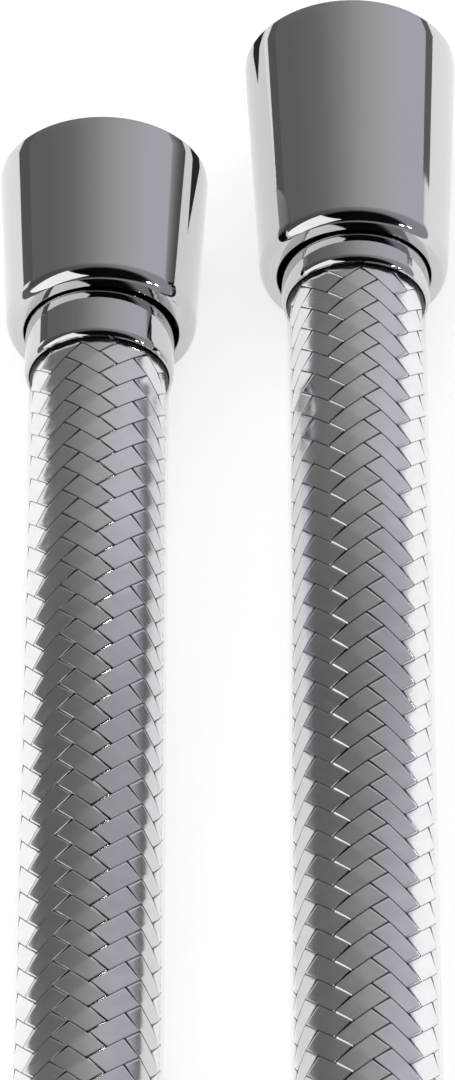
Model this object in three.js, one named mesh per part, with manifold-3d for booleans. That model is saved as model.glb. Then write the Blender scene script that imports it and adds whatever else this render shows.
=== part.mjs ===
// Braided shower-type supply hose, 1.5 m overall, with a conical union nut on each end.
// Millimetres. +Z is up, +Y runs from the hose towards the open mouths of the nuts, and the
// origin is on the floor under the middle of the two end fittings, which lie side by side.
// Each fitting is drawn about its own axis, by radius and by depth behind its nut's mouth.

import * as THREE from 'three';
import Module from 'manifold-3d';
import { mergeVertices } from 'three/addons/utils/BufferGeometryUtils.js';

const wasm = await Module();
wasm.setup();

// --- driving dimensions ------------------------------------------------------------------

const hoseRadius = 8;                // outside of the clear jacket
const gap = 0.3;                     // between pieces that touch

// G1/2 female pipe thread of both nuts
const threadMajor = 20.955 / 2;
const threadMinor = 18.631 / 2;
const threadPitch = 1.814;
const threadTurns = 4;
const threadStart = 0.6;

const nutEndRadius = 11;             // outside of the narrow end, before its chamfer
const nutBore = 8.9;                 // the skirt's bore round the ferrule
const nutPlay = 0.15;                // how far each loose nut sits off the ferrule's axis
const webFront = 12.4;               // the nut's inner shoulder, which pulls on the slip ring
const webBack = 13.9;
const webBore = 6.6;

const washerFront = 7.2;
const washerBack = 9;
const flangeFront = 9.3;
const flangeBack = 11;
const flangeRadius = 9;
const slipRingFront = flangeBack + gap;
const slipRingBack = webFront - gap;
const neckRadius = 6.25;
const waterwayRadius = 3.4;

const tailRadius = 5.2;              // root and barbs of the tail inside the hose
const tailValley = 4.7;
const tailInset = 1;                 // the tail stops this short of the ferrule's end
const ferruleLength = 11.6;
const ferruleRadius = 8.55;
const ferruleInside = 8;
const ferruleWall = 1;               // its front wall, round the tail's root

const socketFront = 17;              // swivel socket of the long end
const socketBack = 24;
const socketBore = 5.9;
const barrelRadius = 5.6;
const snapGroove = [18.2, 19.4];
const sealGroove = [20.5, 22.3];

// the two ends: axis position, mouth position along Y, mouth radius, nut length, ferrule's end
const left = { side: -1, x: -14.75, mouthY: 5.9, mouthRadius: 12.2, length: 22.5, ferruleEnd: 29 };
const right = { side: 1, x: 14.4, mouthY: 23.1, mouthRadius: 12.55, length: 31.8, ferruleEnd: 35.9 };

// the free hose: each leg lies on the floor and is tucked into a flat two-layer hank
const bend = 50;                     // radius of the hank's folds, at the hose's centre
const foldFarY = -182;               // centres of the half circles at the hank's two ends
const foldNearY = -337.1;
const hankBase = 1.1;
const hankTop = 33.2;
const hankHalfWidth = 8.2;           // of one side of the hank, across the hose

// The legs pass under the hank's first fold through this box: low and high corners.
const passage = [[-60, foldFarY, -1], [24.5, foldFarY + 65, 16.8]];

const leftRoute = [
  [-14.9, -23.4, 12.2], [-14.9, -38, 12.2], [-14.9, -52, 11.8], [-14.9, -66, 10.8],
  [-14.9, -80, 9.5], [-14.9, -94, 8.5], [-14.9, -108, 8.1], [-15.7, -122, 8.2],
  [-19.2, -136, 8.4], [-25.1, -150, 8.4], [-32.2, -164, 8.4], [-39.3, -178, 8.5],
];
const rightRoute = [
  [14.55, -13.1, 12.55], [14.55, -28, 12.55], [14.5, -42, 12.1], [14.5, -56, 11],
  [14.4, -70, 9.6], [14.4, -84, 8.5], [14.3, -98, 8.1], [14.3, -112, 8.1],
  [14.3, -128, 8.4], [14.3, -144, 8.4], [14.3, -160, 8.4], [14.3, -174, 8.4],
  [14.3, -188, 8.6], [15.3, -202, 10], [19, -216, 12.4], [24.7, -230, 15.5],
  [34.1, -249, 19.9],
];

// ties round both layers of the hank's sides
const tieThickness = 0.8;
const tieWidth = 12;
const leftTieY = -280;
const rightTieY = -318;

// --- materials ---------------------------------------------------------------------------

const finish = (color, roughness, metalness) =>
  new THREE.MeshStandardMaterial({ color, roughness, metalness });

const chrome = finish(0xd8dadd, 0.06, 1);
const brass = finish(0xb9975a, 0.3, 1);
const steel = finish(0x9a9da0, 0.3, 1);
const rubber = finish(0x202022, 0.7, 0);
const nylon = finish(0xe8e6df, 0.45, 0);
const liner = finish(0xdcdcda, 0.5, 0);
const braid = finish(0xb4b3b8, 0.2, 0.9);
const strap = finish(0x2a2a2d, 0.8, 0);

// --- shapes ------------------------------------------------------------------------------

// A solid turned about the fitting's axis. The outline is [radius, depth] pairs that go round
// the section once, with the outside running from the hose towards the mouth.
function turned(outline, segments) {
  const points = outline.map(([radius, depth]) => new THREE.Vector2(radius, -depth));
  points.push(points[0].clone());
  return new THREE.LatheGeometry(points, segments);
}

function plainRing(inner, outer, front, back, segments) {
  return turned([[outer, back], [outer, front], [inner, front], [inner, back]], segments);
}

// Crests and roots of the nut's thread, as rings.
function threadOutline() {
  const outline = [];
  for (let turn = 0; turn < threadTurns; turn++) {
    const start = threadStart + turn * threadPitch;
    outline.push([threadMajor, start + 0.1 * threadPitch]);
    outline.push([threadMinor, start + 0.42 * threadPitch]);
    outline.push([threadMinor, start + 0.68 * threadPitch]);
  }
  return outline;
}

function nut(end) {
  return turned([
    [nutBore + 0.25, end.length],
    [nutEndRadius - 0.4, end.length],
    [nutEndRadius, end.length - 0.65],
    [end.mouthRadius, 0.8],
    [end.mouthRadius - 0.4, 0],
    [threadMajor + 0.35, 0],
    ...threadOutline(),
    [threadMajor + 0.15, threadStart + (threadTurns + 0.1) * threadPitch],
    [threadMajor + 0.15, 9.4],
    [9.5, 10],
    [9.5, webFront],
    [webBore, webFront],
    [webBore, webBack],
    [nutBore, webBack],
    [nutBore, end.length - 0.3],
  ], 36);
}

// Barbs of the tail, from its tip at the given depth forward to its root.
function barbs(tip, root) {
  const outline = [[tailValley - 0.1, tip]];
  const pitch = (tip - root - 1.8) / 4;
  for (let i = 0; i < 4; i++) {
    outline.push([tailRadius, tip - 0.75 * pitch - i * pitch]);
    outline.push([tailValley, tip - 0.8 * pitch - i * pitch]);
  }
  outline.push([tailRadius, tip - 4.4 * pitch], [tailRadius, root]);
  return outline;
}

// One-piece insert of the short end: sealing flange, neck and barbed tail.
function insert(end) {
  const tip = end.ferruleEnd - tailInset;
  const root = end.ferruleEnd - ferruleLength - gap;
  return turned([
    ...barbs(tip, root),
    [neckRadius, root],
    [neckRadius, flangeBack],
    [flangeRadius, flangeBack],
    [flangeRadius, flangeFront],
    [waterwayRadius + 0.6, flangeFront],
    [waterwayRadius, flangeFront + 0.6],
    [waterwayRadius, tip],
  ], 28);
}

// Swivel nipple of the long end: sealing flange, neck, and a barrel with two grooves.
function nipple() {
  const barrelEnd = socketBack - 1;
  return turned([
    [barrelRadius, barrelEnd],
    [barrelRadius, sealGroove[1]], [4.4, sealGroove[1]], [4.4, sealGroove[0]],
    [barrelRadius, sealGroove[0]],
    [barrelRadius, snapGroove[1]], [4.9, snapGroove[1]], [4.9, snapGroove[0]],
    [barrelRadius, snapGroove[0]],
    [barrelRadius, socketFront - gap],
    [neckRadius, socketFront - gap],
    [neckRadius, flangeBack],
    [flangeRadius, flangeBack],
    [flangeRadius, flangeFront],
    [waterwayRadius + 0.6, flangeFront],
    [waterwayRadius, flangeFront + 0.6],
    [waterwayRadius, barrelEnd],
  ], 28);
}

// Swivel socket and barbed tail of the long end.
function socketTail(end) {
  const tip = end.ferruleEnd - tailInset;
  return turned([
    ...barbs(tip, socketBack),
    [8.4, socketBack],
    [8.4, socketFront + 0.4],
    [8, socketFront],
    [socketBore, socketFront],
    [socketBore, snapGroove[0]], [6.8, snapGroove[0]], [6.8, snapGroove[1]],
    [socketBore, snapGroove[1]],
    [socketBore, socketBack - 0.6],
    [waterwayRadius, socketBack - 0.6],
    [waterwayRadius, tip],
  ], 28);
}

function ferrule(end) {
  const back = end.ferruleEnd;
  const front = back - ferruleLength;
  return turned([
    [ferruleRadius - 0.3, back],
    [ferruleRadius, back - 0.4],
    [ferruleRadius, front + 4.2],
    [ferruleRadius - 0.25, front + 3.6],
    [ferruleRadius, front + 3],
    [ferruleRadius, front + 0.5],
    [ferruleRadius - 0.5, front],
    [tailRadius + gap, front],
    [tailRadius + gap, front + ferruleWall],
    [ferruleInside, front + ferruleWall],
    [ferruleInside, back],
  ], 36);
}

function sealRing() {
  const section = 0.6;
  const middle = (sealGroove[0] + sealGroove[1]) / 2;
  const outline = [];
  for (let i = 0; i < 8; i++) {
    const angle = -i * Math.PI / 4;
    outline.push([5.15 + section * Math.cos(angle), middle + section * Math.sin(angle)]);
  }
  return turned(outline, 28);
}

// The open snap ring that keeps the nipple in its socket.
function snapRing() {
  const outline = new THREE.Shape();
  outline.absarc(0, 0, 6.5, 0.3, 2 * Math.PI - 0.3, false);
  outline.absarc(0, 0, 5.2, 2 * Math.PI - 0.3, 0.3, true);
  const ring = new THREE.ExtrudeGeometry(outline, {
    depth: 0.6, bevelEnabled: false, curveSegments: 24,
  });
  ring.translate(0, 0, -0.3);
  ring.rotateX(Math.PI / 2);
  ring.translate(0, -(snapGroove[0] + snapGroove[1]) / 2, 0);
  return ring;
}

// A plain tube of hose along a route.
function hose(route) {
  const curve = new THREE.CatmullRomCurve3(route.map((point) => new THREE.Vector3(...point)));
  const corners = Array.from({ length: 12 }, (_, i) => new THREE.Vector2(
    hoseRadius * Math.cos(i * Math.PI / 6), hoseRadius * Math.sin(i * Math.PI / 6)));
  return new THREE.ExtrudeGeometry(new THREE.Shape(corners), {
    steps: Math.ceil(curve.getLength() / 14), bevelEnabled: false, extrudePath: curve,
  });
}

function racetrack(outline, radius) {
  outline.absarc(0, foldFarY, radius, 0, Math.PI, false);
  outline.absarc(0, foldNearY, radius, Math.PI, 2 * Math.PI, false);
  outline.closePath();
  return outline;
}

function toManifold(geometry) {
  const bare = geometry.clone();
  bare.deleteAttribute('normal');
  bare.deleteAttribute('uv');
  const merged = mergeVertices(bare, 1e-4);
  return new wasm.Manifold(new wasm.Mesh({
    numProp: 3,
    vertProperties: new Float32Array(merged.attributes.position.array),
    triVerts: new Uint32Array(merged.index.array),
  }));
}

function toGeometry(manifold) {
  const mesh = manifold.getMesh();
  const geometry = new THREE.BufferGeometry();
  geometry.setAttribute('position', new THREE.BufferAttribute(mesh.vertProperties, 3));
  geometry.setIndex(new THREE.BufferAttribute(mesh.triVerts, 1));
  const flat = geometry.toNonIndexed();
  flat.computeVertexNormals();
  return flat;
}

// The hank's outer shape: a racetrack ring, open underneath where the two legs pass in.
function hank() {
  const outline = racetrack(new THREE.Shape(), bend + hankHalfWidth);
  outline.holes.push(racetrack(new THREE.Path(), bend - hankHalfWidth));
  const ring = new THREE.ExtrudeGeometry(outline, {
    depth: hankTop - hankBase, bevelEnabled: false, curveSegments: 20,
  });
  ring.translate(0, 0, hankBase);
  const [low, high] = passage.map((corner) => new THREE.Vector3(...corner));
  const size = high.clone().sub(low);
  const block = new THREE.BoxGeometry(size.x, size.y, size.z);
  const middle = low.add(high).multiplyScalar(0.5);
  block.translate(middle.x, middle.y, middle.z);
  return toGeometry(toManifold(ring).subtract(toManifold(block)));
}

// A flat strap round both layers of one side of the hank.
function tie(side, y) {
  const inside = hankHalfWidth + gap;
  const outside = inside + tieThickness;
  const rectangle = (half, low, high) => [
    new THREE.Vector2(-half, low), new THREE.Vector2(half, low),
    new THREE.Vector2(half, high), new THREE.Vector2(-half, high),
  ];
  const section = new THREE.Shape(rectangle(outside, 0, hankTop + gap + tieThickness));
  section.holes.push(new THREE.Path(rectangle(inside, tieThickness, hankTop + gap)));
  const band = new THREE.ExtrudeGeometry(section, { depth: tieWidth, bevelEnabled: false });
  band.rotateX(Math.PI / 2);
  band.translate(side * bend, y + tieWidth / 2, 0);
  return band;
}

// --- the object --------------------------------------------------------------------------

const group = new THREE.Group();

function add(parent, name, geometry, material) {
  const mesh = new THREE.Mesh(geometry, material);
  mesh.name = name;
  parent.add(mesh);
}

// The pieces both ends share. The nut and its slip ring sit off the ferrule's axis by nutPlay.
function fitting(end, name) {
  const axis = new THREE.Group();
  axis.position.set(end.x + end.side * nutPlay, end.mouthY, end.mouthRadius);
  const loose = new THREE.Group();
  loose.position.set(end.x, end.mouthY, end.mouthRadius);
  const back = end.ferruleEnd;
  const front = back - ferruleLength + ferruleWall + gap;
  add(loose, `${name}_nut`, nut(end), chrome);
  add(loose, `${name}_slip_ring`, plainRing(webBore, 9.1, slipRingFront, slipRingBack, 36), nylon);
  add(axis, `${name}_washer`, plainRing(4.6, flangeRadius, washerFront, washerBack, 32), rubber);
  add(axis, `${name}_ferrule`, ferrule(end), chrome);
  add(axis, `${name}_liner_end`, plainRing(tailRadius + gap, 6.8, front, back - gap, 28), liner);
  add(axis, `${name}_braid_end`, plainRing(7.1, 7.7, front, back - gap, 28), braid);
  group.add(axis, loose);
  return axis;
}

const leftAxis = fitting(left, 'left');
add(leftAxis, 'left_insert', insert(left), brass);

const rightAxis = fitting(right, 'right');
add(rightAxis, 'right_swivel_nipple', nipple(), brass);
add(rightAxis, 'right_swivel_seal', sealRing(), rubber);
add(rightAxis, 'right_snap_ring', snapRing(), steel);
add(rightAxis, 'right_socket_tail', socketTail(right), brass);

add(group, 'left_leg', hose(leftRoute), braid);
add(group, 'right_leg', hose(rightRoute), braid);
add(group, 'hank', hank(), braid);
add(group, 'left_tie', tie(-1, leftTieY), strap);
add(group, 'right_tie', tie(1, rightTieY), strap);

export default group;
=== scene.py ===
"""Braided supply hose with two conical union nuts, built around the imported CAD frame.

Metres, +Z up, +Y out of the mouths of the nuts, origin on the floor between the fittings.
Each fitting is drawn about its own axis, by radius and by depth behind its nut's mouth.
"""

import math

import bpy
import numpy as np
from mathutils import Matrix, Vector


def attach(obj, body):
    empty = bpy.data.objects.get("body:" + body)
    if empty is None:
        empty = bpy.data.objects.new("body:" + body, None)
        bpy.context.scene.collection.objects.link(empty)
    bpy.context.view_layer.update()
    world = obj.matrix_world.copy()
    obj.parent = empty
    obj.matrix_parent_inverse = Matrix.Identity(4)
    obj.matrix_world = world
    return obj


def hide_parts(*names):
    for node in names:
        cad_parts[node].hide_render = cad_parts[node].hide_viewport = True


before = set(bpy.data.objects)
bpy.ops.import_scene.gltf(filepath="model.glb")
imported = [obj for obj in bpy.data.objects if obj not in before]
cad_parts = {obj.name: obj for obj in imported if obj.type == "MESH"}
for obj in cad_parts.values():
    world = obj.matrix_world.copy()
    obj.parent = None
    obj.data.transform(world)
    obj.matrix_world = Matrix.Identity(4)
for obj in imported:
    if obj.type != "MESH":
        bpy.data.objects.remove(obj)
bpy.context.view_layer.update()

MM = 0.001
SCENE = bpy.context.scene

# --- camera ------------------------------------------------------------------------------

SENSOR_HEIGHT = 24.0
FOCAL_IN_IMAGE_HEIGHTS = 4.26
ELEVATION = math.radians(55.4)
DISTANCE = 0.527
AIM = Vector((-0.00025, -0.0369, 0.0))


def add_camera():
    data = bpy.data.cameras.new("camera")
    data.sensor_fit = "VERTICAL"
    data.sensor_height = SENSOR_HEIGHT
    data.lens = SENSOR_HEIGHT * FOCAL_IN_IMAGE_HEIGHTS
    data.clip_start = 0.01
    data.clip_end = 20
    camera = bpy.data.objects.new("camera", data)
    SCENE.collection.objects.link(camera)
    back = Vector((0, -math.cos(ELEVATION), math.sin(ELEVATION)))
    camera.location = AIM + back * DISTANCE
    camera.rotation_euler = (-back).to_track_quat("-Z", "Y").to_euler()
    SCENE.camera = camera


# --- the hose's route --------------------------------------------------------------------

HOSE_RADIUS = 8 * MM
BEND = 50                    # the hank's folds, at the hose's centre, in millimetres
FOLD_FAR_Y = -182
FOLD_NEAR_Y = -337.1
LOW, HIGH = 8.9, 24.95       # heights of the hose's centre in the hank's two layers

# Millimetres, as in the CAD part; each list runs on into the hank.
LEFT_ROUTE = [
    (-14.9, -23.4, 12.2), (-14.9, -38, 12.2), (-14.9, -52, 11.8), (-14.9, -66, 10.8),
    (-14.9, -80, 9.5), (-14.9, -94, 8.5), (-14.9, -108, 8.1), (-15.7, -122, 8.2),
    (-19.2, -136, 8.4), (-25.1, -150, 8.4), (-32.2, -164, 8.4), (-39.3, -178, 8.5),
    (-45.3, -192, 8.7), (-49.1, -206, 8.9), (-50, -219, 8.9),
]
RIGHT_ROUTE = [
    (14.55, -13.1, 12.55), (14.55, -28, 12.55), (14.5, -42, 12.1), (14.5, -56, 11),
    (14.4, -70, 9.6), (14.4, -84, 8.5), (14.3, -98, 8.1), (14.3, -112, 8.1),
    (14.3, -128, 8.4), (14.3, -144, 8.4), (14.3, -160, 8.4), (14.3, -174, 8.4),
    (14.3, -188, 8.6), (15.3, -202, 10), (19, -216, 12.4), (24.7, -230, 15.5),
    (31.6, -244, 18.8), (38.6, -258, 21.7), (44.6, -272, 23.9), (48.6, -286, 24.9),
    (50, -300, 24.95),
]
CLIMB_FROM_Y = -266          # the lower layer's last run climbs to the upper one from here
CLIMB_LENGTH = 116
HANK_FROM_Y = -235           # the hank's first run starts here, where the left leg's route ends
ROUTE_STEP = 14              # between points on the hank's straight runs
FOLD_STEPS = 12              # from one end of a fold to the other
LEG_SHARE = 0.14             # each leg's share of the hose: the braid isn't twisted there


def eased(t):
    return 0.5 - 0.5 * math.cos(math.pi * min(max(t, 0), 1))


def hank_turns():
    """The turns of the hank, from the end of the left leg to the end of the right one."""
    points = []

    def climbed(gone):
        return LOW + (HIGH - LOW) * eased(gone / CLIMB_LENGTH)

    def near_fold(height):
        for step in range(FOLD_STEPS + 1):
            angle = math.pi * (1 + step / FOLD_STEPS)
            points.append((BEND * math.cos(angle), FOLD_NEAR_Y + BEND * math.sin(angle), height))

    for y in np.linspace(HANK_FROM_Y, FOLD_NEAR_Y + ROUTE_STEP, 7):
        points.append((-BEND, y, LOW))
    near_fold(LOW)
    for y in np.arange(FOLD_NEAR_Y + ROUTE_STEP, FOLD_FAR_Y - ROUTE_STEP / 2, ROUTE_STEP):
        points.append((BEND, y, climbed(y - CLIMB_FROM_Y)))
    for step in range(FOLD_STEPS + 1):
        angle = math.pi * step / FOLD_STEPS
        gone = FOLD_FAR_Y - CLIMB_FROM_Y + angle * BEND
        height = climbed(gone)
        points.append((BEND * math.cos(angle), FOLD_FAR_Y + BEND * math.sin(angle), height))
    for y in np.linspace(FOLD_FAR_Y - ROUTE_STEP, FOLD_NEAR_Y + ROUTE_STEP, 10):
        points.append((-BEND, y, HIGH))
    near_fold(HIGH)
    points.append((BEND, FOLD_NEAR_Y + 13, HIGH))
    points.append((BEND, FOLD_NEAR_Y + 25, HIGH))
    return points


def smooth_line(points, spacing):
    """A cubic spline through the points with steady curvature, resampled at an even spacing."""
    points = np.array(points, float)
    knots = np.r_[0, np.cumsum(np.linalg.norm(np.diff(points, axis=0), axis=1))]
    gaps = np.diff(knots)
    count = len(points)
    system = np.zeros((count, count))
    right_side = np.zeros((count, 3))
    system[0, :2] = 2, 1
    right_side[0] = 3 * (points[1] - points[0]) / gaps[0]
    system[-1, -2:] = 1, 2
    right_side[-1] = 3 * (points[-1] - points[-2]) / gaps[-1]
    for i in range(1, count - 1):
        before, after = gaps[i - 1], gaps[i]
        system[i, i - 1:i + 2] = after, 2 * (before + after), before
        right_side[i] = 3 * (
            after / before * (points[i] - points[i - 1])
            + before / after * (points[i + 1] - points[i])
        )
    slopes = np.linalg.solve(system, right_side)
    fine = np.linspace(0, knots[-1], int(knots[-1] * 4))
    i = np.clip(np.searchsorted(knots, fine, "right") - 1, 0, count - 2)
    h = gaps[i][:, None]
    t = (fine - knots[i])[:, None] / h
    line = (
        (1 + 2 * t) * (1 - t) ** 2 * points[i] + t * (1 - t) ** 2 * h * slopes[i]
        + t * t * (3 - 2 * t) * points[i + 1] + t * t * (t - 1) * h * slopes[i + 1]
    )
    along = np.r_[0, np.cumsum(np.linalg.norm(np.diff(line, axis=0), axis=1))]
    even = np.linspace(0, along[-1], int(round(along[-1] / spacing)) + 1)
    return np.stack([np.interp(even, along, line[:, k]) for k in range(3)], 1), along[-1]


def hose_line(spacing):
    points = LEFT_ROUTE + hank_turns() + RIGHT_ROUTE[::-1]
    line, length = smooth_line(points, spacing)
    return line * MM, length * MM


def hose_frames(line, twist):
    """Unit vectors (up, side) across the line at each point.

    On both legs up is turned from +Z by what twist gives at that end of the hose.
    """
    tangents = np.gradient(line, axis=0)
    tangents /= np.linalg.norm(tangents, axis=1)[:, None]
    ups = np.zeros_like(line)
    ups[0] = (0, 0, 1)
    for i in range(len(line)):
        v = ups[max(i - 1, 0)]
        v = v - tangents[i] * (v @ tangents[i])
        ups[i] = v / np.linalg.norm(v)
    sides = np.cross(tangents, ups)
    leftover = math.atan2(sides[-1][2], ups[-1][2])
    along = np.linspace(0, 1, len(line))
    share = np.clip((along - LEG_SHARE) / (1 - 2 * LEG_SHARE), 0, 1)
    turn = share * share * (3 - 2 * share) * leftover + twist(share)
    cos, sin = np.cos(turn)[:, None], np.sin(turn)[:, None]
    return cos * ups + sin * sides, cos * sides - sin * ups


# --- meshes ------------------------------------------------------------------------------

def new_piece(name, vertices, faces, sharp_angle=40, uv=None):
    """A smooth-shaded mesh object from arrays; faces are rows of quad corners."""
    vertices = np.asarray(vertices, np.float32)
    faces = np.asarray(faces, np.int32)
    mesh = bpy.data.meshes.new(name)
    mesh.vertices.add(len(vertices))
    mesh.vertices.foreach_set("co", vertices.ravel())
    mesh.loops.add(faces.size)
    mesh.loops.foreach_set("vertex_index", faces.ravel())
    mesh.polygons.add(len(faces))
    mesh.polygons.foreach_set("loop_start", np.arange(len(faces), dtype=np.int32) * 4)
    mesh.polygons.foreach_set("use_smooth", np.ones(len(faces), bool))
    if uv is not None:
        layer = mesh.uv_layers.new(name="along_across")
        layer.data.foreach_set("uv", np.asarray(uv, np.float32)[faces.ravel()].ravel())
    mesh.update(calc_edges=True)
    mesh.validate()
    mesh.set_sharp_from_angle(angle=math.radians(sharp_angle))
    piece = bpy.data.objects.new(name, mesh)
    SCENE.collection.objects.link(piece)
    return piece


def grid_faces(rows, columns, wrap_rows=False):
    """Quads of a grid whose columns close on themselves, and its rows too if asked."""
    last = rows if wrap_rows else rows - 1
    i, k = np.meshgrid(np.arange(last), np.arange(columns), indexing="ij")
    below, right = (i + 1) % rows, (k + 1) % columns
    return np.stack([
        i * columns + k, i * columns + right, below * columns + right, below * columns + k,
    ], -1).reshape(-1, 4)


def place(piece, body, material, replaces=()):
    piece.data.materials.append(material)
    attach(piece, body)
    if replaces:
        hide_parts(*replaces)
    return piece


# --- braid -------------------------------------------------------------------------------

CARRIERS = 12                # tapes in each direction
LEAD = 36.2                  # one full turn of a tape, along the hose
TAPE_FILL = 0.968            # a tape's width over the room it has
TAPE_TOP = 7.68              # outside of a tape where it passes over
TAPE_DIP = 0.105             # how much lower it lies where it passes under
TAPE_SAG = 0.05              # a float is flatter than the hose by this much at its middle
TAPE_THICKNESS = 0.035
TAPE_TWIST = 0.03            # lift of two opposite corners of each float
DIVE_FROM, DIVE_TO = 0.94, 1.02    # where a tape goes down, in crossings from its float's middle
EDGE_ROUND = 0.012           # how far each edge of a tape turns down
UV_SHARE = 0.98              # of each tape's unit of V, so that neighbours stay apart
COLUMN = 2 * math.pi / (2 * CARRIERS)
FINE_ACROSS = (-0.5, -0.47, -0.43, 0.43, 0.47, 0.5)    # lines of points across a tape
COARSE_ACROSS = (-0.5, 0.0, 0.5)
LEFT_ROLL = math.radians(28)
RIGHT_ROLL = math.radians(47.5)


def tape_height(q, v):
    """Radius of a tape's outside at q crossings from its float's middle, v across it."""
    away = np.abs(q)
    drop = np.clip((away - DIVE_FROM) / (DIVE_TO - DIVE_FROM), 0, 1)
    drop = drop * drop * (3 - 2 * drop)
    sag = 1 - np.where(away < 1, away, 2 - away) ** 2
    lift = TAPE_TWIST * q * v * 2 * (1 - drop)
    return TAPE_TOP - TAPE_DIP * drop - TAPE_SAG * sag + lift


def tape_grid(family, tape, run, v):
    """Where a tape's points lie, as (a, b), and the crossings gone by along the tape.

    A point of the braid is (a, b): a counts tapes of one family, b those of the other.
    """
    if family == 1:
        a, b = tape + v + 0 * run, tape + run + 0 * v
        return a, b, b + tape + 1.5
    a, b = tape - run + 0 * v, tape + v + 0 * run
    return a, b, a + tape - 0.5


def on_hose(hose, length, angle, radius):
    """Points round the hose's line, from lengths along it and radii in millimetres."""
    line, ups, sides, spacing = hose
    at = length * MM / spacing
    low = np.clip(np.floor(at).astype(int), 0, len(line) - 2)
    part = (at - low)[..., None]
    middle = line[low] * (1 - part) + line[low + 1] * part
    up = ups[low] * (1 - part) + ups[low + 1] * part
    side = sides[low] * (1 - part) + sides[low + 1] * part
    spread = np.cos(angle)[..., None] * up + np.sin(angle)[..., None] * side
    return middle + radius[..., None] * MM * spread


def braid(name, hose, start, end, offsets, fine, tapes=range(CARRIERS)):
    """The given tapes of both families between two lengths along the hose, as one piece.

    offsets are the places within each crossing that get a row of points. In the UV map, U
    is the crossings gone by along the tape, and V its number and the place across it.
    """
    shares = np.array(FINE_ACROSS if fine else COARSE_ACROSS)
    turned_down = np.where(np.abs(shares) == 0.5, EDGE_ROUND, 0)
    v = (np.r_[shares, shares[-1], shares[0]] * TAPE_FILL)[None, :]
    depth = np.r_[turned_down, EDGE_ROUND + TAPE_THICKNESS, EDGE_ROUND + TAPE_THICKNESS]
    first, last = (round(2 * CARRIERS * at / LEAD) for at in (start, end))
    steps = np.arange(first, last)[:, None] + np.array(offsets)
    run = np.r_[steps.ravel(), last + offsets[0]][:, None]
    all_vertices, all_faces, all_uv = [], [], []
    count = 0
    for family in (1, -1):
        for tape in tapes:
            a, b, gone = tape_grid(family, tape, run, v)
            length = LEAD * (b - a) / (2 * CARRIERS)
            radius = tape_height(gone % 4 - 2, v) - depth[None, :]
            vertices = on_hose(hose, length, (a + b) * COLUMN, radius)
            rows, columns = vertices.shape[:2]
            all_vertices.append(vertices.reshape(-1, 3))
            all_faces.append(grid_faces(rows, columns) + count)
            number = tape + (0 if family == 1 else 2 * CARRIERS)
            across = number + 0.5 + UV_SHARE * v / TAPE_FILL
            all_uv.append(np.stack([gone, across + 0 * run], -1).reshape(-1, 2))
            count += rows * columns
    return new_piece(
        name, np.concatenate(all_vertices), np.concatenate(all_faces), 50,
        np.concatenate(all_uv),
    )


def tube(name, hose, radius, wall, start, end, step, sides=48):
    """A plain tube round the hose's line between two lengths in millimetres."""
    line, ups, side_vectors, spacing = hose
    at = np.linspace(start * MM / spacing, end * MM / spacing, int((end - start) / step) + 2)
    low = np.clip(np.floor(at).astype(int), 0, len(line) - 2)
    part = (at - low)[:, None]
    middle = line[low] * (1 - part) + line[low + 1] * part
    angles = np.arange(sides) * 2 * math.pi / sides
    spread = (
        np.cos(angles)[None, :, None] * ups[low][:, None]
        + np.sin(angles)[None, :, None] * side_vectors[low][:, None]
    )
    outer = middle[:, None] + radius * MM * spread
    inner = middle[:, None] + (radius - wall) * MM * spread
    vertices = np.concatenate([outer, inner[::-1]]).reshape(-1, 3)
    return new_piece(name, vertices, grid_faces(2 * len(at), sides, wrap_rows=True))


# --- turned pieces -----------------------------------------------------------------------

class End:
    """One end of the hose: where its axis is, and how deep its parts lie behind the mouth."""

    def __init__(self, name, side, x, mouth_y, mouth_radius, length, ferrule_end):
        self.name, self.side, self.x, self.mouth_y = name, side, x, mouth_y
        self.mouth_radius, self.length, self.ferrule_end = mouth_radius, length, ferrule_end


LEFT = End("left", -1, -14.75, 5.9, 12.2, 22.5, 29)
RIGHT = End("right", 1, 14.4, 23.1, 12.55, 31.8, 35.9)
NUT_PLAY = 0.15
FERRULE_LENGTH = 11.6
FERRULE_RADIUS = 8.55
THREAD_MAJOR, THREAD_MINOR, THREAD_PITCH = 10.4775, 9.3155, 1.814
THREAD_FROM, THREAD_TO = 0.5, 8.0
NUT_END_RADIUS = 11
NUT_BORE = 8.9
END_ROUND = 1.1, 2.1         # rounding of the nut's narrow end: radial, axial
LIP_ROUND = 0.5, 1.15        # the same for the ferrule's rear lip


def arc(radius, depth, size, start, end, steps=6):
    """Points of an arc in a section; angles in degrees, 0 outward, 90 towards the hose."""
    angles = np.radians(np.linspace(start, end, steps))
    return [(radius + size * math.cos(t), depth + size * math.sin(t)) for t in angles]


def rounded_end(radius, depth, size, angles):
    """Points of an elliptical rounding inside the corner at (radius, depth); angles in degrees."""
    return [
        (radius - size[0] * (1 - math.cos(t)), depth - size[1] * (1 - math.sin(t)))
        for t in np.radians(angles)
    ]


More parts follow.
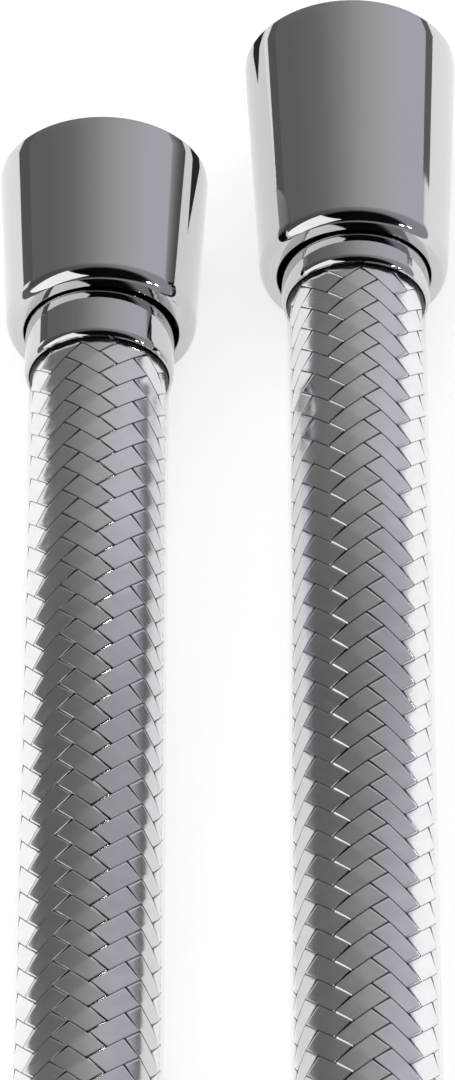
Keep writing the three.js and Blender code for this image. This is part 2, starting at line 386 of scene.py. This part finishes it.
def turned(name, end, outline, loose=False, segments=128, thread=None):
    """A piece turned about the end's axis from (radius, depth) points round its section.

    The outline runs along the outside from the hose towards the mouth. thread, if given,
    is the span of its points that follow the helix. A loose piece sits off the axis.
    """
    radii, depths = np.array(outline, float).T
    angles = np.arange(segments) * 2 * math.pi / segments
    radii = radii[:, None] + 0 * angles
    if thread is not None:
        first, last = thread
        turns = (depths[first:last, None] - THREAD_FROM) / THREAD_PITCH + angles / (2 * math.pi)
        middle, half = (THREAD_MAJOR + THREAD_MINOR) / 2, (THREAD_MAJOR - THREAD_MINOR) / 2
        fade = np.clip((THREAD_TO - depths[first:last, None]) / THREAD_PITCH, 0, 1)
        ridge = 1.12 * np.cos(2 * math.pi * turns)
        helix = middle + half * np.clip(ridge, -1, 1)
        radii[first:last] = THREAD_MAJOR + (helix - THREAD_MAJOR) * fade
    x = end.x + (0 if loose else end.side * NUT_PLAY)
    vertices = np.stack([
        x + radii * np.sin(angles),
        end.mouth_y - depths[:, None] + 0 * angles,
        end.mouth_radius + radii * np.cos(angles),
    ], -1) * MM
    faces = grid_faces(len(outline), segments, wrap_rows=True)
    return new_piece(f"{end.name}_{name}", vertices.reshape(-1, 3), faces, 30)


def nut(end):
    length, mouth = end.length, end.mouth_radius
    thread_depths = np.arange(THREAD_FROM, THREAD_TO + 0.01, 0.11)
    thread_rows = [(THREAD_MAJOR, depth) for depth in thread_depths]
    before = [
        *arc(9.1, length - 0.2, 0.2, 170, 90, 5),
        *rounded_end(NUT_END_RADIUS, length, END_ROUND, np.linspace(72, 2, 14)),
        *[(NUT_END_RADIUS + (mouth - NUT_END_RADIUS) * t,
           (length - END_ROUND[1]) * (1 - t) + 0.6 * t) for t in np.linspace(0.02, 0.95, 8)],
        *arc(mouth - 0.45, 0.45, 0.45, -5, -80, 6),
        (THREAD_MAJOR + 0.42, 0),
        (THREAD_MAJOR + 0.3, 0.08),
        (THREAD_MAJOR + 0.02, THREAD_FROM - 0.1),
    ]
    after = [
        (THREAD_MAJOR + 0.15, THREAD_TO + 0.2),
        (THREAD_MAJOR + 0.15, 9.4),
        (9.5, 10), (9.5, 12.3), (9.4, 12.4),
        (6.7, 12.4), (6.6, 12.5), (6.6, 13.8), (6.7, 13.9),
        (NUT_BORE - 0.2, 13.9), (NUT_BORE, 14.1), (NUT_BORE, length - 0.4),
    ]
    outline = before + thread_rows + after
    span = (len(before), len(before) + len(thread_rows))
    return turned("chrome_nut", end, outline, loose=True, segments=160, thread=span)


def ferrule(end):
    back = end.ferrule_end
    front = back - FERRULE_LENGTH
    radius = FERRULE_RADIUS
    return turned("chrome_ferrule", end, [
        (8.05, back - 0.1),
        *rounded_end(radius, back, LIP_ROUND, np.linspace(62, 0, 10)),
        (radius, back - 1.3),
        (radius, front + 4.2), (radius - 0.12, front + 4), (radius - 0.25, front + 3.6),
        (radius - 0.12, front + 3.2), (radius, front + 3),
        *arc(radius - 0.5, front + 0.5, 0.5, 0, -90),
        (5.6, front), (5.5, front + 0.1), (5.5, front + 1), (7.8, front + 1), (8, front + 1.2),
        (8, back - 0.8),
    ])


def barbs(tip, root):
    outline = [(4.5, tip), (4.7, tip - 0.3)]
    pitch = (tip - root - 1.8) / 4
    for i in range(4):
        outline.append((5.15, tip - (0.72 + i) * pitch))
        outline.append((5.2, tip - (0.76 + i) * pitch))
        outline.append((4.72, tip - (0.8 + i) * pitch))
    return outline + [(5.2, tip - 4.4 * pitch), (5.2, root)]


FLANGE = [
    (6.25, 11.15), (6.4, 11), *arc(8.8, 10.8, 0.2, 90, 0, 4), *arc(8.8, 9.5, 0.2, 0, -90, 4),
    (7.6, 9.3), (7.5, 9.42), (7.1, 9.42), (7.0, 9.3),
    (6.1, 9.3), (6.0, 9.42), (5.6, 9.42), (5.5, 9.3),
    (4.1, 9.3), (3.9, 9.36), (3.45, 9.8), (3.4, 9.9),
]


def insert(end):
    tip = end.ferrule_end - 1
    root = end.ferrule_end - FERRULE_LENGTH - 0.3
    return turned("brass_insert", end, [
        *barbs(tip, root), (6.1, root), (6.25, root - 0.15), *FLANGE, (3.4, tip - 0.4), (3.7, tip),
    ], segments=96)


def nipple(end):
    return turned("brass_nipple", end, [
        (5.4, 23), (5.6, 22.8), (5.6, 22.3), (4.4, 22.3), (4.4, 20.5), (5.6, 20.5),
        (5.6, 19.4), (4.9, 19.4), (4.9, 18.2), (5.6, 18.2), (5.6, 16.7),
        (6.1, 16.7), (6.25, 16.55), *FLANGE, (3.4, 22.7), (3.6, 23),
    ], segments=96)


def socket_tail(end):
    tip = end.ferrule_end - 1
    return turned("brass_socket_tail", end, [
        *barbs(tip, 24), (8.2, 24), (8.4, 23.8), (8.4, 17.4), (8.3, 17.1), (8.1, 17),
        (6.1, 17), (5.9, 17.2), (5.9, 18.2), (6.8, 18.2), (6.8, 19.4), (5.9, 19.4),
        (5.9, 23.4), (3.4, 23.4), (3.4, tip - 0.4), (3.7, tip),
    ], segments=96)


def soft_ring(name, end, inner, outer, front, back, edge, loose=False):
    """A flat ring with rounded edges."""
    return turned(name, end, [
        *arc(outer - edge, back - edge, edge, 90, 0, 4),
        *arc(outer - edge, front + edge, edge, 0, -90, 4),
        *arc(inner + edge, front + edge, edge, -90, -180, 4),
        *arc(inner + edge, back - edge, edge, 180, 90, 4),
    ], loose=loose, segments=96)


def seal_ring(end):
    return turned("rubber_seal", end, arc(5.15, 21.4, 0.6, 0, -345, 24), segments=96)


def snap_ring(end):
    """An open ring of flat spring wire, with a gap of about 35 degrees."""
    angles = np.linspace(0.3, 2 * math.pi - 0.3, 90)
    section = [(5.2, 18.5), (6.5, 18.5), (6.5, 19.1), (5.2, 19.1)]
    x = end.x + end.side * NUT_PLAY
    rings = np.array([
        [(x + r * math.cos(t), end.mouth_y - s, end.mouth_radius + r * math.sin(t))
         for r, s in section]
        for t in angles
    ]) * MM
    faces = np.r_[grid_faces(len(angles), 4), [[3, 2, 1, 0]], [
        [4 * len(angles) - 4 + k for k in range(4)]]]
    return new_piece("right_steel_snap_ring", rings.reshape(-1, 3), faces[:, ::-1])


# --- ties --------------------------------------------------------------------------------

TIE_WIDTH = 12
TIE_THICKNESS = 0.8
TIE_LAP = 34                 # points of the first turn that the free end lies over
LEFT_TIE_Y, RIGHT_TIE_Y = -280, -318


def tie(name, side, y):
    """A strap round two hoses, one on the other, with its free end lapped over the top."""
    reach = HOSE_RADIUS / MM + 0.1
    turns = []
    for step in range(25):
        angle = math.pi * step / 24
        turns.append((math.cos(angle), math.sin(angle), HIGH))
    for step in range(25):
        angle = math.pi * (1 + step / 24)
        turns.append((math.cos(angle), math.sin(angle), LOW))
    loop = [(reach * c, h + reach * s, c, s) for c, s, h in turns]
    path = [(x, z, c, s, 0.0) for x, z, c, s in loop]
    for k in range(TIE_LAP):
        x, z, c, s = loop[k]
        path.append((x, z, c, s, TIE_THICKNESS * min(1, (k + 1) / 3)))
    half = TIE_WIDTH / 2
    section = [
        (-half, 0.15), (-half, TIE_THICKNESS - 0.2), (-half + 0.2, TIE_THICKNESS),
        (half - 0.2, TIE_THICKNESS), (half, TIE_THICKNESS - 0.2), (half, 0.15),
        (half - 0.15, 0), (-half + 0.15, 0),
    ]
    rings = np.array([
        [(side * BEND + x + c * (out + depth), y + w, z + s * (out + depth))
         for w, depth in section]
        for x, z, c, s, out in path
    ]) * MM
    count = len(section)
    end_caps = []
    for base, order in ((0, 1), ((len(path) - 1) * count, -1)):
        end_caps.append([base + k for k in (0, 1, 2, 7)][::order])
        end_caps.append([base + k for k in (2, 3, 6, 7)][::order])
        end_caps.append([base + k for k in (3, 4, 5, 6)][::order])
    faces = np.r_[grid_faces(len(path), count), np.array(end_caps)[:, ::-1]]
    return new_piece(name, rings.reshape(-1, 3), faces, 35)


# --- materials ---------------------------------------------------------------------------

def shader(name, color, roughness, metallic=0.0):
    """A Principled material; returns it with its node tree and the Principled node."""
    material = bpy.data.materials.new(name)
    material.use_nodes = True
    tree = material.node_tree
    node = tree.nodes["Principled BSDF"]
    node.inputs["Base Color"].default_value = (*color, 1)
    node.inputs["Roughness"].default_value = roughness
    node.inputs["Metallic"].default_value = metallic
    return material, tree, node


def noise(tree, scale, detail=4.0, stretch=(1, 1, 1), source="Object"):
    coordinates = tree.nodes.new("ShaderNodeTexCoord")
    mapping = tree.nodes.new("ShaderNodeMapping")
    mapping.inputs["Scale"].default_value = stretch
    texture = tree.nodes.new("ShaderNodeTexNoise")
    texture.inputs["Scale"].default_value = scale
    texture.inputs["Detail"].default_value = detail
    tree.links.new(coordinates.outputs[source], mapping.inputs["Vector"])
    tree.links.new(mapping.outputs["Vector"], texture.inputs["Vector"])
    return texture.outputs["Fac"]


def ramp(tree, source, low, high, at=(0.3, 0.7)):
    """Maps a factor to a range of values."""
    node = tree.nodes.new("ShaderNodeMapRange")
    node.inputs["From Min"].default_value, node.inputs["From Max"].default_value = at
    node.inputs["To Min"].default_value, node.inputs["To Max"].default_value = low, high
    tree.links.new(source, node.inputs["Value"])
    return node.outputs["Result"]


def tint(tree, source, dark, light):
    node = tree.nodes.new("ShaderNodeValToRGB")
    node.color_ramp.elements[0].color = (*dark, 1)
    node.color_ramp.elements[1].color = (*light, 1)
    tree.links.new(source, node.inputs["Fac"])
    return node.outputs["Color"]


def color_by(tree, node, source, dark, light):
    tree.links.new(tint(tree, source, dark, light), node.inputs["Base Color"])


def calculate(tree, operation, *values):
    """A Math node's result; each value is a number or another node's output."""
    node = tree.nodes.new("ShaderNodeMath")
    node.operation = operation
    for socket, value in zip(node.inputs, values):
        if isinstance(value, (int, float)):
            socket.default_value = value
        else:
            tree.links.new(value, socket)
    return node.outputs[0]


def bump(tree, node, source, height, strength=1.0, after=None):
    bumper = tree.nodes.new("ShaderNodeBump")
    bumper.inputs["Distance"].default_value = height
    bumper.inputs["Strength"].default_value = strength
    tree.links.new(source, bumper.inputs["Height"])
    if after is not None:
        tree.links.new(after, bumper.inputs["Normal"])
    tree.links.new(bumper.outputs["Normal"], node.inputs["Normal"])
    return bumper.outputs["Normal"]


def chrome_material():
    material, tree, node = shader("polished_chrome", (0.6, 0.6, 0.61), 0.05, metallic=1.0)
    smears = noise(tree, 90, 5, (1, 0.35, 1))
    tree.links.new(ramp(tree, smears, 0.03, 0.075), node.inputs["Roughness"])
    color_by(tree, node, smears, (0.575, 0.575, 0.585), (0.62, 0.625, 0.63))
    wave = bump(tree, node, noise(tree, 45, 2), 0.00004, 0.5)
    bump(tree, node, noise(tree, 2200, 2), 0.0000012, 0.5, wave)
    return material


def folded(tree, source, size):
    """Distance to the nearest multiple of twice the size, for a value that keeps growing."""
    return calculate(tree, "PINGPONG", source, size)


def blend_colors(tree, factor, first, second):
    node = tree.nodes.new("ShaderNodeMix")
    node.data_type = "RGBA"
    tree.links.new(factor, node.inputs[0])
    tree.links.new(first, node.inputs[6])
    node.inputs[7].default_value = (*second, 1)
    return node.outputs[2]


def tape_material():
    """Bright metal tape, drawn lengthwise, with painted shade at its edges, where it dives and at
    its corners.
    """
    material, tree, node = shader("silver_tape", (0.8, 0.8, 0.81), 0.18, metallic=1.0)
    coordinates = tree.nodes.new("ShaderNodeTexCoord")
    split = tree.nodes.new("ShaderNodeSeparateXYZ")
    tree.links.new(coordinates.outputs["UV"], split.inputs["Vector"])
    from_edge = folded(tree, split.outputs["Y"], 0.5)
    from_middle = folded(tree, split.outputs["X"], 2)
    from_bend = calculate(tree, "ABSOLUTE", calculate(tree, "SUBTRACT", from_middle, 1.0))
    # Masks for painted shade: thin lines along each tape's edges, a band where it dives beneath
    # the crossing tape, and dots at the corners where four tapes meet.
    edge = ramp(tree, from_edge, 0.8, 0, (0.012, 0.03))
    dive_shade = ramp(tree, from_middle, 0.8, 0, (1.02, 1.07))
    near_edge = ramp(tree, from_edge, 1, 0, (0.02, 0.08))
    near_bend = ramp(tree, from_bend, 1, 0, (0.04, 0.11))
    corner_shade = calculate(tree, "MULTIPLY", near_edge, near_bend)
    streaks = noise(tree, 1, 3, (0.5, 14, 1), "UV")
    floats = noise(tree, 1, 1, (0.5, 1, 1), "UV")
    silver = tint(tree, floats, (0.77, 0.77, 0.78), (0.89, 0.89, 0.905))
    # Painted shade in the base colour: grey lines at the edges, a grey band at each dive and
    # near-black dots at the corners.
    shaded = blend_colors(tree, edge, silver, (0.3, 0.3, 0.32))
    shaded = blend_colors(tree, dive_shade, shaded, (0.35, 0.35, 0.37))
    shaded = blend_colors(tree, corner_shade, shaded, (0.07, 0.07, 0.08))
    tree.links.new(shaded, node.inputs["Base Color"])
    tree.links.new(ramp(tree, streaks, 0.12, 0.22), node.inputs["Roughness"])
    fine = bump(tree, node, streaks, 0.000004, 0.5)
    bump(tree, node, noise(tree, 330, 1), 0.00007, 0.5, fine)
    return material


def jacket_material():
    """A thin clear skin: only what it mirrors is seen."""
    material = bpy.data.materials.new("clear_jacket")
    material.use_nodes = True
    tree = material.node_tree
    tree.nodes.clear()
    output = tree.nodes.new("ShaderNodeOutputMaterial")
    mix = tree.nodes.new("ShaderNodeMixShader")
    clear = tree.nodes.new("ShaderNodeBsdfTransparent")
    clear.inputs["Color"].default_value = (0.985, 0.985, 0.988, 1)
    gloss = tree.nodes.new("ShaderNodeBsdfGlossy")
    gloss.inputs["Roughness"].default_value = 0.12
    facing = tree.nodes.new("ShaderNodeLayerWeight")
    facing.inputs["Blend"].default_value = 0.5
    grazing = calculate(tree, "POWER", facing.outputs["Facing"], 4)
    bumper = tree.nodes.new("ShaderNodeBump")
    bumper.inputs["Distance"].default_value = 0.00002
    bumper.inputs["Strength"].default_value = 0.4
    tree.links.new(noise(tree, 400, 2), bumper.inputs["Height"])
    tree.links.new(bumper.outputs["Normal"], gloss.inputs["Normal"])
    tree.links.new(ramp(tree, grazing, 0.012, 0.28, (0, 1)), mix.inputs["Fac"])
    tree.links.new(clear.outputs["BSDF"], mix.inputs[1])
    tree.links.new(gloss.outputs["BSDF"], mix.inputs[2])
    tree.links.new(mix.outputs["Shader"], output.inputs["Surface"])
    return material


def core_material():
    material, tree, node = shader("dark_liner", (0.05, 0.05, 0.055), 0.6)
    grain = noise(tree, 1500, 3)
    color_by(tree, node, grain, (0.03, 0.03, 0.034), (0.07, 0.07, 0.075))
    bump(tree, node, grain, 0.00003)
    return material


def brass_material():
    material, tree, node = shader("turned_brass", (0.72, 0.56, 0.3), 0.25, metallic=1.0)
    lathe_lines = noise(tree, 900, 3, (0.02, 6, 0.02))
    color_by(tree, node, noise(tree, 200), (0.62, 0.46, 0.22), (0.8, 0.64, 0.36))
    tree.links.new(ramp(tree, lathe_lines, 0.2, 0.36), node.inputs["Roughness"])
    bump(tree, node, lathe_lines, 0.00002, 0.6)
    return material


def steel_material():
    material, tree, node = shader("spring_steel", (0.5, 0.51, 0.53), 0.3, metallic=1.0)
    grain = noise(tree, 1200, 3)
    tree.links.new(ramp(tree, grain, 0.22, 0.4), node.inputs["Roughness"])
    bump(tree, node, grain, 0.00001, 0.5)
    return material


def rubber_material():
    material, tree, node = shader("black_rubber", (0.02, 0.02, 0.021), 0.6)
    grain = noise(tree, 1800, 4)
    color_by(tree, node, grain, (0.014, 0.014, 0.015), (0.032, 0.032, 0.033))
    tree.links.new(ramp(tree, grain, 0.5, 0.75), node.inputs["Roughness"])
    bump(tree, node, grain, 0.00003, 0.6)
    return material


def plastic_material(name, dark, light, roughness):
    material, tree, node = shader(name, light, roughness)
    grain = noise(tree, 700, 3)
    color_by(tree, node, grain, dark, light)
    tree.links.new(ramp(tree, grain, roughness - 0.06, roughness + 0.08), node.inputs["Roughness"])
    node.inputs["Subsurface Weight"].default_value = 0.1
    node.inputs["Subsurface Radius"].default_value = (0.002, 0.002, 0.002)
    bump(tree, node, grain, 0.00001, 0.5)
    return material


def strap_material():
    """Black woven strap: two crossing rows of threads."""
    material, tree, node = shader("woven_strap", (0.02, 0.02, 0.022), 0.85)
    coordinates = tree.nodes.new("ShaderNodeTexCoord")
    threads = []
    for direction in ("Y", "Z"):
        wave = tree.nodes.new("ShaderNodeTexWave")
        wave.wave_type = "BANDS"
        wave.bands_direction = direction
        wave.inputs["Scale"].default_value = 500
        wave.inputs["Distortion"].default_value = 0.6
        tree.links.new(coordinates.outputs["Object"], wave.inputs["Vector"])
        threads.append(wave.outputs["Fac"])
    weave = calculate(tree, "MULTIPLY", *threads)
    color_by(tree, node, weave, (0.008, 0.008, 0.009), (0.045, 0.045, 0.05))
    node.inputs["Sheen Weight"].default_value = 0.3
    bump(tree, node, weave, 0.00025, 0.8)
    return material


# --- floor and light ---------------------------------------------------------------------

def area_light(name, location, size, power):
    """A rectangular light, turned towards the origin."""
    data = bpy.data.lights.new(name, "AREA")
    data.shape = "RECTANGLE"
    data.size, data.size_y = size
    data.energy = power
    light = bpy.data.objects.new(name, data)
    SCENE.collection.objects.link(light)
    light.location = location
    light.rotation_euler = (-Vector(location)).to_track_quat("-Z", "Y").to_euler()
    return light


def add_floor():
    half, below = 6.0, -0.0002
    corners = [(-half, -half), (half, -half), (half, half), (-half, half)]
    mesh = bpy.data.meshes.new("floor")
    mesh.from_pydata([(x, y, below) for x, y in corners], [], [(0, 1, 2, 3)])
    floor = bpy.data.objects.new("floor", mesh)
    SCENE.collection.objects.link(floor)
    material, tree, node = shader("pale_floor", (0.8, 0.8, 0.8), 0.9)
    node.inputs["Specular IOR Level"].default_value = 0.1
    node.inputs["Emission Color"].default_value = (1, 1, 1, 1)
    node.inputs["Emission Strength"].default_value = 0.48
    color_by(tree, node, noise(tree, 3), (0.78, 0.78, 0.78), (0.8, 0.8, 0.8))
    mesh.materials.append(material)


def world_value(tree, source, low, high, at):
    node = tree.nodes.new("ShaderNodeMapRange")
    node.interpolation_type = "SMOOTHSTEP"
    node.inputs["From Min"].default_value, node.inputs["From Max"].default_value = at
    node.inputs["To Min"].default_value, node.inputs["To Max"].default_value = low, high
    tree.links.new(source, node.inputs["Value"])
    return node.outputs["Result"]


def add_world():
    """A grey room: darker on the left, lighter on the right, black high behind the camera."""
    world = bpy.data.worlds.new("room")
    SCENE.world = world
    world.use_nodes = True
    tree = world.node_tree
    background = tree.nodes["Background"]
    coordinates = tree.nodes.new("ShaderNodeTexCoord")
    split = tree.nodes.new("ShaderNodeSeparateXYZ")
    tree.links.new(coordinates.outputs["Generated"], split.inputs["Vector"])
    sideways = tree.nodes.new("ShaderNodeValToRGB")
    stops = sideways.color_ramp.elements
    stops[0].position, stops[0].color = 0.12, (0.155, 0.153, 0.152, 1)
    stops[1].position, stops[1].color = 0.82, (0.525, 0.515, 0.565, 1)
    for position, color in (
        (0.27, (0.20, 0.196, 0.192, 1)),
        (0.43, (0.30, 0.297, 0.293, 1)),
        (0.52, (0.37, 0.365, 0.37, 1)),
        (0.64, (0.45, 0.445, 0.46, 1)),
    ):
        stops.new(position).color = color
    shifted = tree.nodes.new("ShaderNodeMapRange")
    shifted.inputs["From Min"].default_value = -1
    shifted.inputs["From Max"].default_value = 1
    tree.links.new(split.outputs["X"], shifted.inputs["Value"])
    tree.links.new(shifted.outputs["Result"], sideways.inputs["Fac"])
    narrowed = tree.nodes.new("ShaderNodeVectorMath")
    narrowed.operation = "MULTIPLY"
    narrowed.inputs[1].default_value = (0.45, 1, 1)
    tree.links.new(coordinates.outputs["Generated"], narrowed.inputs[0])
    from_patch = tree.nodes.new("ShaderNodeVectorMath")
    from_patch.operation = "DISTANCE"
    from_patch.inputs[1].default_value = (0, -0.38, 0.925)
    tree.links.new(narrowed.outputs["Vector"], from_patch.inputs[0])
    clear = world_value(tree, from_patch.outputs["Value"], 0.02, 1.12, (0.5, 0.72))
    ahead = world_value(tree, split.outputs["Y"], 0.6, 1.0, (0.38, 0.54))
    strength = calculate(tree, "MULTIPLY", clear, ahead)
    tree.links.new(sideways.outputs["Color"], background.inputs["Color"])
    tree.links.new(strength, background.inputs["Strength"])


def add_card(name, x, outline, glow):
    """An upright card, from (y, z) corners, that shows only in what the metal mirrors."""
    mesh = bpy.data.meshes.new(name)
    mesh.from_pydata([(x * MM, y * MM, z * MM) for y, z in outline], [], [range(len(outline))])
    card = bpy.data.objects.new(name, mesh)
    SCENE.collection.objects.link(card)
    material, tree, node = shader(name, (0, 0, 0), 1)
    node.inputs["Specular IOR Level"].default_value = 0
    node.inputs["Emission Color"].default_value = (glow, glow, glow * 1.02, 1)
    node.inputs["Emission Strength"].default_value = 1
    mesh.materials.append(material)
    card.visible_camera = False
    card.visible_diffuse = False
    card.visible_transmission = False
    card.visible_shadow = False


def strip(y_from, y_to, height):
    return [(y_from, 0), (y_to, 0), (y_to, height), (y_from, height)]


def add_cards():
    add_card("dark_card_beside_hose", -140, strip(-250, 30, 23), 0.16)
    add_card("dark_card_beside_nut", -95, strip(30, 600, 23), 0.13)
    add_card("dark_card_right", 140, strip(82, 700, 24), 0.16)
    add_card("white_card_between_hoses", 0, strip(-250, -24, 12), 0.82)
    add_card("white_card_left_nut", -1.3, strip(-20, 30, 17.6), 0.95)
    add_card("white_card_right_nut", 0.9, strip(-20, 30, 18.4), 0.95)
    add_card("black_card_left_nut", -1.4, [(-4, 16.5), (12, 14), (12, 17.4)], 0.03)
    add_card("black_card_right_nut", 1.0, [(18.3, 16.1), (27, 15), (27, 18.4)], 0.03)


def add_lights():
    overhead = area_light("overhead_softbox", (0.0, -0.1, 2.2), (3.2, 3.2), 34)
    overhead.visible_glossy = False
    area_light("left_softbox", (-0.85, -0.42, 0.62), (1.2, 1.2), 6)
    area_light("right_lamp_high", (0.62, -0.28, 0.42), (0.05, 0.05), 0.4)
    area_light("right_lamp_low", (0.70, -0.18, 0.34), (0.04, 0.04), 0.3)


# --- the object --------------------------------------------------------------------------

LEG_LENGTH = 118             # the finely drawn stretch at each end, in millimetres
SPACING = 0.5                # of the worked-out line, in millimetres
TUCK = 3.0                   # how far the visible braid and its jacket run on into a ferrule
BRAID_GRIP = 9.6             # how far the whole braid goes into it
JACKET_RADIUS, JACKET_WALL = 7.95, 0.65    # the braid lies within the jacket's wall
CORE_RADIUS, CORE_WALL = 7.25, 0.4
FINE = (-0.5, -0.48, -0.44, -0.38, 0.38, 0.44, 0.48)    # rows of points in each crossing
COARSE = (-0.5, -0.25, 0.25)
LEG_PARTS, HANK_PARTS = 2, 3    # the braid is split by tape, which keeps each piece small


def braid_roll(share):
    return LEFT_ROLL + (RIGHT_ROLL - LEFT_ROLL) * share


def tapes_of(part, parts):
    each = CARRIERS // parts
    return range(part * each, (part + 1) * each)


def build_hose(materials):
    line, length = hose_line(SPACING)
    ups, sides = hose_frames(line, braid_roll)
    spacing = length / (len(line) - 1)
    hose = line, ups, sides, spacing
    total = length / MM
    core = tube("hose_core", hose, CORE_RADIUS, CORE_WALL, 0, total, 3, 32)
    place(core, "root", materials["core"], ("left_leg", "right_leg", "hank"))
    jacket = tube("clear_jacket", hose, JACKET_RADIUS, JACKET_WALL, -TUCK, total + TUCK, 1.5)
    pieces = [place(jacket, "root", materials["jacket"])]
    legs = ("left", -TUCK, LEG_LENGTH), ("right", total - LEG_LENGTH, total + TUCK)
    for part in range(LEG_PARTS):
        tapes = tapes_of(part, LEG_PARTS)
        for leg, start, end in legs:
            piece = braid(f"{leg}_leg_braid_{part + 1}", hose, start, end, FINE, True, tapes)
            pieces.append(place(piece, "root", materials["tape"]))
    for part in range(HANK_PARTS):
        name, tapes = f"hank_braid_{part + 1}", tapes_of(part, HANK_PARTS)
        piece = braid(name, hose, LEG_LENGTH, total - LEG_LENGTH, COARSE, False, tapes)
        pieces.append(place(piece, "root", materials["tape"]))
    grips = ("left", -BRAID_GRIP, -TUCK), ("right", total + TUCK, total + BRAID_GRIP)
    for leg, start, end in grips:
        piece = braid(f"{leg}_gripped_braid", hose, start, end, COARSE, False)
        place(piece, "root", materials["tape"], [f"{leg}_braid_end"])
    for side_name, side, y in (("left", -1, LEFT_TIE_Y), ("right", 1, RIGHT_TIE_Y)):
        strap = tie(f"{side_name}_tie_strap", side, y)
        pieces.append(place(strap, "root", materials["strap"], [f"{side_name}_tie"]))


def build_fittings(materials):
    for end in (LEFT, RIGHT):
        name = end.name
        place(nut(end), f"{name}_union_nut", materials["chrome"], [f"{name}_nut"])
        place(ferrule(end), "root", materials["chrome"], [f"{name}_ferrule"])
        ring = soft_ring("nylon_slip_ring", end, 6.6, 9.1, 11.3, 12.1, 0.15, loose=True)
        place(ring, f"{name}_slip", materials["nylon"], [f"{name}_slip_ring"])
        front, back = end.ferrule_end - FERRULE_LENGTH + 1.3, end.ferrule_end - 0.3
        liner = soft_ring("gripped_liner", end, 5.5, 6.8, front, back, 0.2)
        place(liner, "root", materials["liner"], [f"{name}_liner_end"])
        washer = soft_ring("rubber_washer", end, 4.6, 9.0, 7.2, 9.0, 0.25)
        body = "root" if end is LEFT else "right_swivel"
        place(washer, body, materials["rubber"], [f"{name}_washer"])
    place(insert(LEFT), "root", materials["brass"], ["left_insert"])
    place(nipple(RIGHT), "right_swivel", materials["brass"], ["right_swivel_nipple"])
    place(socket_tail(RIGHT), "root", materials["brass"], ["right_socket_tail"])
    place(seal_ring(RIGHT), "right_swivel", materials["rubber"], ["right_swivel_seal"])
    place(snap_ring(RIGHT), "root", materials["steel"], ["right_snap_ring"])


SCENE.view_settings.view_transform = "Standard"
add_camera()
add_floor()
add_world()
add_lights()
add_cards()
MATERIALS = {
    "chrome": chrome_material(),
    "tape": tape_material(),
    "jacket": jacket_material(),
    "core": core_material(),
    "brass": brass_material(),
    "steel": steel_material(),
    "rubber": rubber_material(),
    "nylon": plastic_material("natural_nylon", (0.74, 0.73, 0.68), (0.86, 0.85, 0.8), 0.42),
    "liner": plastic_material("white_liner", (0.7, 0.7, 0.69), (0.82, 0.82, 0.81), 0.5),
    "strap": strap_material(),
}
build_hose(MATERIALS)
build_fittings(MATERIALS)
